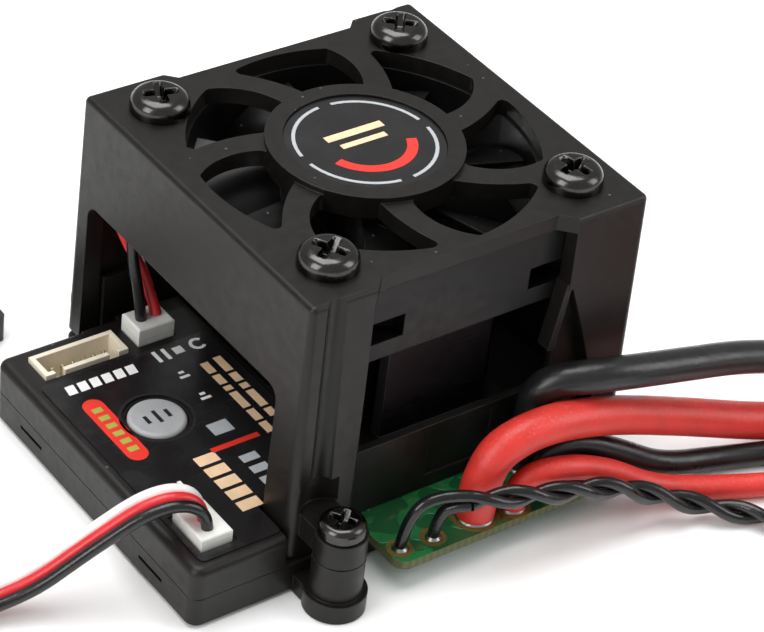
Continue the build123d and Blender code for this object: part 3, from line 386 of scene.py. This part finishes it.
def striped_sleeve(name):
    """A heat-shrunk capacitor sleeve: dark film with a pale polarity stripe of dashes down one side."""
    shader = Shader(name)
    centre = middle("power_capacitor")
    across = shader.calc("SUBTRACT", shader.axis("X"), centre.x)
    above = shader.calc("SUBTRACT", shader.axis("Z"), centre.z)
    angle = shader.calc("ARCTAN2", above, across)
    stripe = shader.ramp(shader.calc("ABSOLUTE", shader.calc("SUBTRACT", angle, 0.9)), 0.34, 0.31)
    dash = shader.calc("SINE", shader.calc("MULTIPLY", shader.axis("Y"), 2 * math.pi / (3.2 * MM)))
    thin = shader.ramp(shader.calc("ABSOLUTE", shader.calc("SUBTRACT", angle, 0.9)), 0.09, 0.07)
    mark = shader.calc("MULTIPLY", thin, shader.ramp(dash, -0.1, 0.1))
    base = shader.shade((0.012, 0.014, 0.03), shader.noise(3.0), 0.8, 1.2)
    base = shader.mix(stripe, base, (0.62, 0.62, 0.6, 1))
    base = shader.mix(shader.calc("MULTIPLY", mark, stripe), base, (0.012, 0.014, 0.03, 1))
    creases = shader.noise(1.1, 3.0, shader.stretched(1.0, 0.3, 1.0))
    return shader.finish(Base_Color=base, Roughness=shader.ramp(creases, 0.3, 0.7, 0.24, 0.36),
                         Normal=shader.bump(creases, 0.05))


def enamelled_coil(name):
    """Fine enamelled wire wound in layers; its colour is painted darker in the grooves between turns and
    brighter on their crowns, as painted shade and painted highlight.
    """
    shader = Shader(name)
    turns = shader.calc("SINE", shader.calc("MULTIPLY", shader.axis("Z"), 2 * math.pi / (0.16 * MM)))
    # The colour follows the turns' profile: painted shade in the grooves and painted highlight on the crowns.
    base = shader.mix(shader.ramp(turns, -1.0, 1.0), (0.19, 0.05, 0.012, 1), (0.62, 0.22, 0.06, 1))
    return shader.finish(Base_Color=base, Roughness=shader.ramp(shader.noise(0.4), 0.3, 0.7, 0.22, 0.38),
                         Metallic=0.8, Normal=shader.bump(turns, 0.05))


def sintered(name, colour, gloss, shine):
    """Pressed and sintered stock, such as ferrite or a bronze bush: open grain, and pores painted dark as
    painted shade.
    """
    shader = Shader(name)
    pores = shader.ramp(shader.cells(0.22), 0.2, 0.05)
    grain = shader.shade(colour, shader.noise(0.8), 0.8, 1.2)
    # The pores are painted dark: painted shade in the recesses.
    base = shader.mix(pores, grain, toned(colour, 0.4))
    return shader.finish(Base_Color=base, Roughness=shader.ramp(pores, 0.0, 1.0, gloss, gloss + 0.2),
                         Metallic=shine, Normal=shader.bump(pores, -0.02, shader.rounding(0.06)))


def chip_resistor_body(name):
    """Tan ceramic with tinned end caps, seen on each small capacitor."""
    shader = Shader(name)
    low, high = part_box("ceramic_capacitors")
    pitch = (high[1] - low[1] - 2.0 * MM) / 6
    along = shader.calc("SUBTRACT", shader.axis("Y"), low[1] + 1.0 * MM)
    folded = shader.calc("WRAP", along, pitch / 2)
    folded.node.inputs[2].default_value = -pitch / 2
    cap = shader.ramp(shader.calc("ABSOLUTE", folded), 0.62 * MM, 0.66 * MM)
    body = shader.shade((0.34, 0.25, 0.15), shader.noise(0.5), 0.85, 1.15)
    base = shader.mix(cap, body, (0.72, 0.71, 0.69, 1))
    return shader.finish(Base_Color=base, Metallic=cap, Roughness=shader.ramp(cap, 0.0, 1.0, 0.55, 0.3),
                         Normal=shader.bump(shader.noise(0.2), 0.015, shader.rounding(0.08)))


def soft_pad(name):
    """A gap-filling pad: matt grey silicone with a woven glass carrier."""
    shader = Shader(name)
    weave = shader.calc("ADD", shader.calc("SINE", shader.calc("MULTIPLY", shader.axis("X"), 12000.0)),
                        shader.calc("SINE", shader.calc("MULTIPLY", shader.axis("Y"), 12000.0)))
    base = shader.mix(shader.ramp(weave, -2.0, 2.0), (0.2, 0.21, 0.22, 1), (0.3, 0.31, 0.32, 1))
    return shader.finish(Base_Color=base, Roughness=0.85, Normal=shader.bump(weave, 0.02))


def floor_card(name):
    """Pale seamless card with the faintest tooth."""
    shader = Shader(name)
    base = shader.shade((0.93, 0.93, 0.925), shader.noise(60.0), 0.995, 1.005)
    return shader.finish(Base_Color=base, Roughness=0.9, Specular_IOR_Level=0.2,
                         Normal=shader.bump(shader.noise(0.6), 0.01))


CASE_BLACK = moulded("case_plastic", (0.0062, 0.0054, 0.0045), 0.38, grain=0.35, edge_wear_and_highlight=0.7,
                    Specular_IOR_Level=0.3)
FAN_BLACK_PLASTIC = moulded("fan_plastic", (0.0045, 0.0044, 0.0042), 0.34, grain=0.2, edge_wear_and_highlight=0.35,
                           Specular_IOR_Level=0.22)
ANODISED = metal("black_anodised", (0.03, 0.03, 0.032), 0.42, (0.06, 1, 1), (0.02, 0.02, 0.022), scratch=0.5)
SCREW = metal("screw_black_nickel", (0.07, 0.068, 0.065), 0.17, (1, 1, 1), (0.025, 0.025, 0.026), scratch=0.1)
BOARD = board_mask("board_green")
SOLDER = metal("solder", (0.42, 0.42, 0.41), 0.3, (1, 1, 1), (0.2, 0.18, 0.14), scratch=1.2)
CHIP = moulded("chip_black", (0.016, 0.016, 0.017), 0.6, grain=0.8, edge_wear_and_highlight=0.3)
CERAMIC = chip_resistor_body("ceramic")
THERMAL = soft_pad("thermal_grey")
SILICONE_RED = jacket("silicone_red", (0.66, 0.035, 0.026), 0.42)
SILICONE_BLACK = jacket("silicone_black", (0.009, 0.009, 0.0095), 0.32, dust=0.02)
WIRE_WHITE = jacket("wire_white", (0.78, 0.76, 0.74), 0.34, dust=0.05)
WIRE_RED = jacket("wire_red", (0.58, 0.02, 0.026), 0.3, dust=0.1)
WIRE_BLACK = jacket("wire_black", (0.008, 0.008, 0.0085), 0.22, dust=0.02)
NYLON = moulded("nylon_white", (0.72, 0.72, 0.68), 0.42, grain=0.25, edge_wear_and_highlight=0.1,
                Subsurface_Weight=0.12, Subsurface_Radius=(0.001, 0.001, 0.0008))
IVORY = moulded("nylon_ivory", (0.76, 0.68, 0.55), 0.42, grain=0.25, edge_wear_and_highlight=0.1,
                Subsurface_Weight=0.12, Subsurface_Radius=(0.001, 0.0009, 0.0006))
PIN = metal("pin_metal", (0.72, 0.66, 0.5), 0.28, (1, 1, 0.1))
BUTTON_GREY = moulded("button_grey", (0.34, 0.345, 0.35), 0.4, grain=0.3, edge_wear_and_highlight=0.15)
LABEL = printed_film("label_black", (0.0095, 0.0085, 0.009))
STEEL = metal("steel", (0.5, 0.5, 0.5), 0.25, (1, 1, 0.1))
BRONZE = sintered("bronze", (0.42, 0.24, 0.1), 0.35, 0.9)
MAGNET = sintered("magnet", (0.03, 0.028, 0.027), 0.55, 0.1)
COPPER = enamelled_coil("copper")
CAN = metal("can_aluminium", (0.78, 0.78, 0.79), 0.26, (1, 0.1, 1))
SLEEVE = striped_sleeve("sleeve_film")
PLUG_PLASTIC = moulded("plug_plastic", (0.5, 0.022, 0.018), 0.4, grain=0.4, edge_wear_and_highlight=0.2)
SERVO_PLASTIC = moulded("servo_plastic", (0.014, 0.014, 0.0145), 0.42, grain=0.4, edge_wear_and_highlight=0.35)
GOLD = metal("gold", (0.83, 0.6, 0.24), 0.22, (1, 0.1, 1))
RUBBER = moulded("rubber", (0.02, 0.02, 0.021), 0.7, grain=0.6, edge_wear_and_highlight=0.1)
INK_WHITE = ink("ink_white", (0.82, 0.82, 0.81))
INK_TAN = ink("ink_tan", (0.86, 0.6, 0.38))
INK_RED = ink("ink_red", (0.72, 0.03, 0.018))
INK_SILVER = ink("ink_silver", (0.42, 0.44, 0.46))
INK_OLIVE = ink("ink_olive", (0.36, 0.38, 0.06))
INK_BLACK = ink("ink_black", (0.012, 0.012, 0.013))
FLUX = jacket("flux", (0.26, 0.16, 0.04), 0.2, dust=0.1, Alpha=0.55)
FLOOR = floor_card("floor_card")

FINISH = {
    "lower_case": CASE_BLACK, "upper_case": CASE_BLACK, "fan_shroud": CASE_BLACK, "hub_label": LABEL,
    "main_board": BOARD, "power_mosfets": CHIP, "thermal_pad": THERMAL, "heat_sink": ANODISED,
    "microcontroller": CHIP, "voltage_regulator": CHIP, "filter_inductor": MAGNET,
    "ceramic_capacitors": CERAMIC, "motor_solder_pads": SOLDER, "sensor_socket": IVORY, "sensor_pins": PIN,
    "receiver_socket": NYLON, "receiver_plug": NYLON, "fan_socket": NYLON, "fan_plug": NYLON,
    "tact_switch": STEEL, "switch_plunger": CHIP, "setup_button": BUTTON_GREY, "top_label": LABEL,
    "fan_frame": FAN_BLACK_PLASTIC, "fan_bearing": BRONZE, "fan_circuit_board": BOARD, "fan_stator": STEEL,
    "stator_coils": COPPER, "fan_rotor": FAN_BLACK_PLASTIC, "rotor_yoke": STEEL, "rotor_magnet": MAGNET,
    "fan_shaft": STEEL, "fan_screws": SCREW, "ear_screws": SCREW, "power_solder": SOLDER,
    "battery_plug": PLUG_PLASTIC, "battery_plug_blades": GOLD, "capacitor_bung": RUBBER,
    "power_capacitor": CAN, "capacitor_sleeve": SLEEVE, "switch_housing": SERVO_PLASTIC,
    "switch_base": SERVO_PLASTIC, "switch_contacts": GOLD, "switch_slider": SERVO_PLASTIC,
    "servo_plug": SERVO_PLASTIC, "servo_contacts": GOLD}

for node, material in FINISH.items():
    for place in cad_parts[node].material_slots:
        place.material = material


# ---- the leads ----
SHARP_ANGLE = 35            # degrees between two faces, above which their edge stays sharp


def strand_tube(build, points, radius, sides=12):
    """A round tube along points, closed at both ends, whose frame doesn't twist."""
    side = Vector((0, 0, 1))
    rings = []
    last = len(points) - 1
    for index, point in enumerate(points):
        along = (points[min(index + 1, last)] - points[max(index - 1, 0)]).normalized()
        side = (side - along * side.dot(along)).normalized()
        over = along.cross(side)
        rings.append([build.verts.new(point + radius * (math.cos(turn) * side + math.sin(turn) * over))
                      for turn in (2 * math.pi * step / sides for step in range(sides))])
    for first, second in zip(rings, rings[1:]):
        for step in range(sides):
            following = (step + 1) % sides
            build.faces.new((first[step], first[following], second[following], second[step]))
    build.faces.new(reversed(rings[0]))
    build.faces.new(rings[-1])


def piece(name, build, material, body=CASE, nodes=(), smooth=True):
    """A finished mesh, in metres, on a body."""
    mesh = bpy.data.meshes.new(name)
    bmesh.ops.recalc_face_normals(build, faces=build.faces)
    build.to_mesh(mesh)
    build.free()
    mesh.materials.append(material)
    made = bpy.data.objects.new(name, mesh)
    bpy.context.collection.objects.link(made)
    if smooth:
        mesh.shade_smooth()
        mesh.set_sharp_from_angle(angle=math.radians(SHARP_ANGLE))
    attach(made, body)
    if nodes:
        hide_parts(*nodes)
    return made


battery_red = round_lead("battery_wire_red", BATTERY_RED, BATTERY_RED_R, ["battery_lead_red"], SILICONE_RED)
battery_black = round_lead("battery_wire_black", BATTERY_BLACK, BATTERY_BLACK_R, ["battery_lead_black"],
                           SILICONE_BLACK)
capacitor_red = round_lead("capacitor_wire_red", CAPACITOR_RED, CAPACITOR_R, ["capacitor_lead_red"],
                           SILICONE_RED)
capacitor_black = round_lead("capacitor_wire_black", CAPACITOR_BLACK, CAPACITOR_R, ["capacitor_lead_black"],
                             SILICONE_BLACK)
receiver_white = round_lead("receiver_wire_white", beside(RECEIVER, -RIBBON_PITCH), RIBBON_R,
                            ["receiver_lead_white"], WIRE_WHITE)
receiver_red = round_lead("receiver_wire_red", RECEIVER, RIBBON_R, ["receiver_lead_red"], WIRE_RED)
receiver_black = round_lead("receiver_wire_black", beside(RECEIVER, RIBBON_PITCH), RIBBON_R,
                            ["receiver_lead_black"], WIRE_BLACK)
round_lead("fan_wire_red", FAN_RED, STRAND_R, ["fan_lead_red"], WIRE_RED)
round_lead("fan_wire_black", FAN_BLACK, STRAND_R, ["fan_lead_black"], WIRE_BLACK)
round_lead("switch_tail_first", SWITCH_TAILS[0], STRAND_R, ["switch_tails"], WIRE_BLACK)
round_lead("switch_tail_second", SWITCH_TAILS[1], STRAND_R, ["switch_tails"], WIRE_BLACK)

TWIST_PITCH = 9.0


def twisted_pair(name, points, nodes):
    """Two strands that wind round each other along a route."""
    line = centre_line(points)
    side = Vector((0, 0, 1))
    travelled = 0.0
    strands = ([], [])
    last = len(line) - 1
    for index, point in enumerate(line):
        along = (line[min(index + 1, last)] - line[max(index - 1, 0)]).normalized()
        side = (side - along * side.dot(along)).normalized()
        over = along.cross(side)
        if index:
            travelled += (point - line[index - 1]).length
        turn = 2 * math.pi * travelled / (TWIST_PITCH * MM)
        offset = STRAND_R * MM * (math.cos(turn) * side + math.sin(turn) * over)
        strands[0].append(point + offset)
        strands[1].append(point - offset)
    build = bmesh.new()
    for strand in strands:
        strand_tube(build, strand, STRAND_R * MM)
    return piece(name, build, WIRE_BLACK, nodes=nodes), line


switch_pair, switch_line = twisted_pair("switch_wires", SWITCH, ["switch_lead"])

# ---- screws: pan heads with a tapered cross recess ----
HEAD_RINGS = 34
HEAD_SPOKES = 96


def cross_depth(x, y, long, wide):
    """How deep the recess is at x, y, from 0 to 1: two tapered arms that meet in the middle."""
    deepest = 0.0
    for along, across in ((abs(x), abs(y)), (abs(y), abs(x))):
        end = max(0.0, min(1.0, (long - along) / (0.45 * long)))
        side = max(0.0, min(1.0, (wide - across) / (0.4 * wide)))
        deepest = max(deepest, end * side)
    return deepest


def screw(build, place, seat, shank_low, head, shank_radius, recess, turn):
    """One screw, in millimetres.

    Its head is a radius, a height and an edge rounding, and its recess a reach, a half width and a depth.
    """
    radius, high, rounding = head
    long, wide, deep = recess
    around = [2 * math.pi * step / HEAD_SPOKES for step in range(HEAD_SPOKES)]

    def ring(reach, level):
        return [build.verts.new(Vector((place.x + reach * math.cos(angle), place.y + reach * math.sin(angle),
                                        level(reach, angle - turn))) * MM) for angle in around]

    def top(reach, angle):
        past = max(0.0, reach - (radius - rounding))
        crown = seat + high - rounding + math.sqrt(max(0.0, rounding ** 2 - past ** 2))
        return crown - deep * cross_depth(reach * math.cos(angle), reach * math.sin(angle), long, wide)

    rings = [ring(radius * (step + 1) / HEAD_RINGS, top) for step in range(HEAD_RINGS)]
    rings.append(ring(radius, lambda reach, angle: seat))
    rings.append(ring(shank_radius, lambda reach, angle: seat))
    rings.append(ring(shank_radius, lambda reach, angle: shank_low))
    for first, second in zip(rings, rings[1:]):
        for step in range(HEAD_SPOKES):
            following = (step + 1) % HEAD_SPOKES
            build.faces.new((first[step], second[step], second[following], first[following]))
    centre = build.verts.new(Vector((place.x, place.y, top(0.0, 0.0))) * MM)
    for step in range(HEAD_SPOKES):
        build.faces.new((centre, rings[0][step], rings[0][(step + 1) % HEAD_SPOKES]))
    build.faces.new(reversed(rings[-1]))


def screw_set(name, node, places, head, shank_radius, recess, turns):
    """A node's screws, finished, each turned by its own number of degrees."""
    build = bmesh.new()
    low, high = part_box(node)
    for place, turn in zip(places, turns):
        screw(build, place, high[2] / MM - head[1], low[2] / MM, head, shank_radius, recess,
              math.radians(turn))
    return piece(name, build, SCREW, nodes=[node])


FAN_SCREW_HEAD = (2.5, 1.6, 1.1)
FAN_SCREW_SHANK = 1.25
FAN_SCREW_RECESS = (1.55, 0.42, 1.0)
FAN_SCREW_TURNS = (28, 72, 12, 50)
EAR_SCREW_HEAD = (1.95, 1.3, 0.7)
EAR_SCREW_SHANK = 0.95
EAR_SCREW_RECESS = (1.2, 0.34, 0.75)
EAR_SCREW_TURNS = (35, 60)


def inner_corners(node, inset):
    """A node's lowest and highest corners, moved in by one distance in plan."""
    low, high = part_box(node)
    return (Vector(low) / MM + Vector((inset, inset, 0)), Vector(high) / MM - Vector((inset, inset, 0)))


near, far = inner_corners("fan_screws", FAN_SCREW_HEAD[0])
screw_set("fan_screw_set", "fan_screws",
          [near, Vector((near.x, far.y, 0)), Vector((far.x, near.y, 0)), far],
          FAN_SCREW_HEAD, FAN_SCREW_SHANK, FAN_SCREW_RECESS, FAN_SCREW_TURNS)
screw_set("ear_screw_set", "ear_screws", inner_corners("ear_screws", EAR_SCREW_HEAD[0]),
          EAR_SCREW_HEAD, EAR_SCREW_SHANK, EAR_SCREW_RECESS, EAR_SCREW_TURNS)

# ---- printing: plain generic shapes where the object carries its captions ----
INK_THICK = 0.02
FILM_TOP = top_of("top_label") / MM
HUB_TOP = top_of("hub_label") / MM
BUTTON_TOP = top_of("setup_button") / MM
BUTTON_AT = middle("setup_button") / MM
HUB_AT = middle("hub_label") / MM


def bar(x, y, wide, tall, lean=0.0):
    """A bar centred at x, y. Lean slides its far end sideways."""
    return [(x - wide / 2 - lean, y - tall / 2), (x + wide / 2 - lean, y - tall / 2),
            (x + wide / 2 + lean, y + tall / 2), (x - wide / 2 + lean, y + tall / 2)]


def pill(x, y, wide, tall):
    """An upright pill, rounded at both ends."""
    radius = wide / 2
    reach = tall / 2 - radius
    shape = []
    for side, start in ((1, 0.0), (-1, math.pi)):
        for step in range(9):
            turn = start + math.pi * step / 8
            shape.append((x + radius * math.cos(turn), y + side * reach + radius * math.sin(turn)))
    return shape


def arc_band(x, y, inner, outer, start, end):
    """A piece of a ring, between two angles in degrees."""
    steps = max(6, int(abs(end - start) / 6))
    turns = [math.radians(start + (end - start) * step / steps) for step in range(steps + 1)]
    out = [(x + outer * math.cos(turn), y + outer * math.sin(turn)) for turn in turns]
    back = [(x + inner * math.cos(turn), y + inner * math.sin(turn)) for turn in reversed(turns)]
    return out + back


def printing(name, shapes, level, material, body=CASE):
    """Flat ink shapes, in millimetres, standing a hair above a surface."""
    build = bmesh.new()
    for shape in shapes:
        low = [build.verts.new(Vector((x, y, level)) * MM) for x, y in shape]
        high = [build.verts.new(Vector((x, y, level + INK_THICK)) * MM) for x, y in shape]
        build.faces.new(reversed(low))
        build.faces.new(high)
        for index in range(len(shape)):
            following = (index + 1) % len(shape)
            build.faces.new((low[index], low[following], high[following], high[index]))
    return piece(name, build, material, body, smooth=False)


SENSOR_TICKS = [bar(-18.2 + 1.16 * step, 6.5, 0.85, 1.15, 0.08) for step in range(6)]
APPROVAL_MARKS = [bar(-9.6, 6.9, 0.35, 1.5), bar(-8.7, 6.9, 0.35, 1.5), bar(-7.5, 6.9, 0.9, 0.9),
                  arc_band(-5.6, 6.9, 0.45, 0.75, 40, 320)]
SMALL_MARKS = [bar(-8.95, 3.6, 0.95, 0.3), bar(-8.95, 4.2, 0.5, 0.3), bar(-8.92, 0.4, 0.95, 0.3),
               bar(-8.92, 1.0, 0.5, 0.3)]
PLUG_MARK = [bar(-17.9, -8.2, 0.9, 1.4), bar(-16.7, -8.2, 0.35, 1.4), bar(-17.0, -8.2, 0.5, 0.35)]
printing("print_white", SENSOR_TICKS + APPROVAL_MARKS + SMALL_MARKS + PLUG_MARK, FILM_TOP, INK_WHITE)

DASH_GAP = 0.35


def caption_row(x, start, dashes, wide):
    """A row of upright dashes that runs towards -Y."""
    shapes = []
    for long in dashes:
        shapes.append(bar(x, start - long / 2, wide, long))
        start -= long + DASH_GAP
    return shapes


printing("print_tan",
         caption_row(-5.2, 4.6, (2.1, 1.2, 0.7, 2.3, 1.1), 0.75)
         + caption_row(-6.6, 4.4, (1.5, 1.3, 0.6, 2.2, 1.5, 1.4), 0.75)
         + [bar(-13.2, -6.3 - 1.55 * step, 2.0, 1.15, 0.0) for step in range(5)], FILM_TOP, INK_TAN)
printing("print_red_pill", [pill(-17.7, 0.45, 1.9, 8.6)], FILM_TOP, INK_RED)
printing("print_olive", [bar(-17.7, 3.2 - 1.1 * step, 0.9, 0.6, 0.0) for step in range(6)],
         FILM_TOP + INK_THICK, INK_OLIVE)
printing("print_silver", [bar(-10.0, -3.4, 1.9, 1.5, 0.0), bar(-10.0, -7.7, 1.6, 0.9),
                          bar(-10.0, -9.2, 1.6, 0.9), bar(-10.0, -10.7, 1.6, 0.9)], FILM_TOP, INK_SILVER)
printing("print_red_stripe", [bar(-10.0, -5.6, 4.6, 0.55, 0.0)], FILM_TOP, INK_RED)
printing("print_button_ring",
         [arc_band(BUTTON_AT.x, BUTTON_AT.y, 2.95, 3.2, 90 * turn, 90 * turn + 90) for turn in range(4)],
         FILM_TOP, INK_BLACK)
printing("print_button_mark", [bar(BUTTON_AT.x - 1.0 + step, BUTTON_AT.y, 0.35, 1.0 + 0.6 * (step == 1))
                               for step in range(3)], BUTTON_TOP, INK_BLACK, BUTTON)
printing("print_hub_rings",
         [arc_band(HUB_AT.x, HUB_AT.y, 5.7, 6.0, 90 * turn + 6, 90 * turn + 84) for turn in range(4)],
         HUB_TOP, INK_SILVER)
printing("print_hub_red", [arc_band(HUB_AT.x, HUB_AT.y, 3.4, 4.3, 200, 340)], HUB_TOP, INK_RED)
printing("print_hub_tan", [bar(HUB_AT.x, HUB_AT.y + 1.6, 5.6, 0.8), bar(HUB_AT.x, HUB_AT.y + 0.2, 4.4, 0.6)],
         HUB_TOP, INK_TAN)

# ---- flux left round each soldered foot ----
FLUX_WIDE = 0.4


def flux_rings():
    """A flat ring round each foot that can be seen, in quarters."""
    shapes = []
    for foot, radius in ((BATTERY_RED[0], BATTERY_RED_R), (CAPACITOR_RED[0], CAPACITOR_R),
                         (SWITCH_TAILS[0][0], STRAND_R), (SWITCH_TAILS[1][0], STRAND_R)):
        inner = 0.85 * radius + 0.3
        for turn in range(4):
            shapes.append(arc_band(foot[0], foot[1], inner, inner + FLUX_WIDE, 90 * turn, 90 * turn + 90))
    return shapes


printing("flux_rings", flux_rings(), top_of("main_board") / MM, FLUX)

# ---- floor and lights ----
FLOOR_SIZE = 4.0
FLOOR_GAP = 0.0001          # the floor lies this far under the object


def make_floor():
    build = bmesh.new()
    bmesh.ops.create_grid(build, x_segments=1, y_segments=1, size=FLOOR_SIZE / 2)
    mesh = bpy.data.meshes.new("floor")
    build.to_mesh(mesh)
    build.free()
    mesh.materials.append(FLOOR)
    floor = bpy.data.objects.new("floor", mesh)
    bpy.context.collection.objects.link(floor)
    floor.location.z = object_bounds()[0][2] - FLOOR_GAP


def soft_box(name, place, aim, size, power):
    data = bpy.data.lights.new(name, "AREA")
    data.shape = "RECTANGLE"
    data.size = size[0]
    data.size_y = size[1]
    data.energy = power
    light = bpy.data.objects.new(name, data)
    light.location = place
    light.rotation_euler = (Vector(aim) - Vector(place)).to_track_quat("-Z", "Y").to_euler()
    bpy.context.collection.objects.link(light)


make_floor()
soft_box("overhead", (0.0, 0.25, 1.1), (0, 0, 0), (0.9, 0.9), 13.0)
soft_box("left", (-0.95, -0.1, 0.55), (0, 0, 0), (0.5, 0.8), 6.0)
soft_box("right", (0.8, -0.6, 0.6), (0, 0, 0), (0.5, 0.7), 4.0)

world = bpy.data.worlds.new("studio")
world.use_nodes = True
world.node_tree.nodes["Background"].inputs["Color"].default_value = (1.0, 1.0, 1.0, 1.0)
world.node_tree.nodes["Background"].inputs["Strength"].default_value = 0.45
bpy.context.scene.world = world
bpy.context.scene.view_settings.view_transform = "Standard"
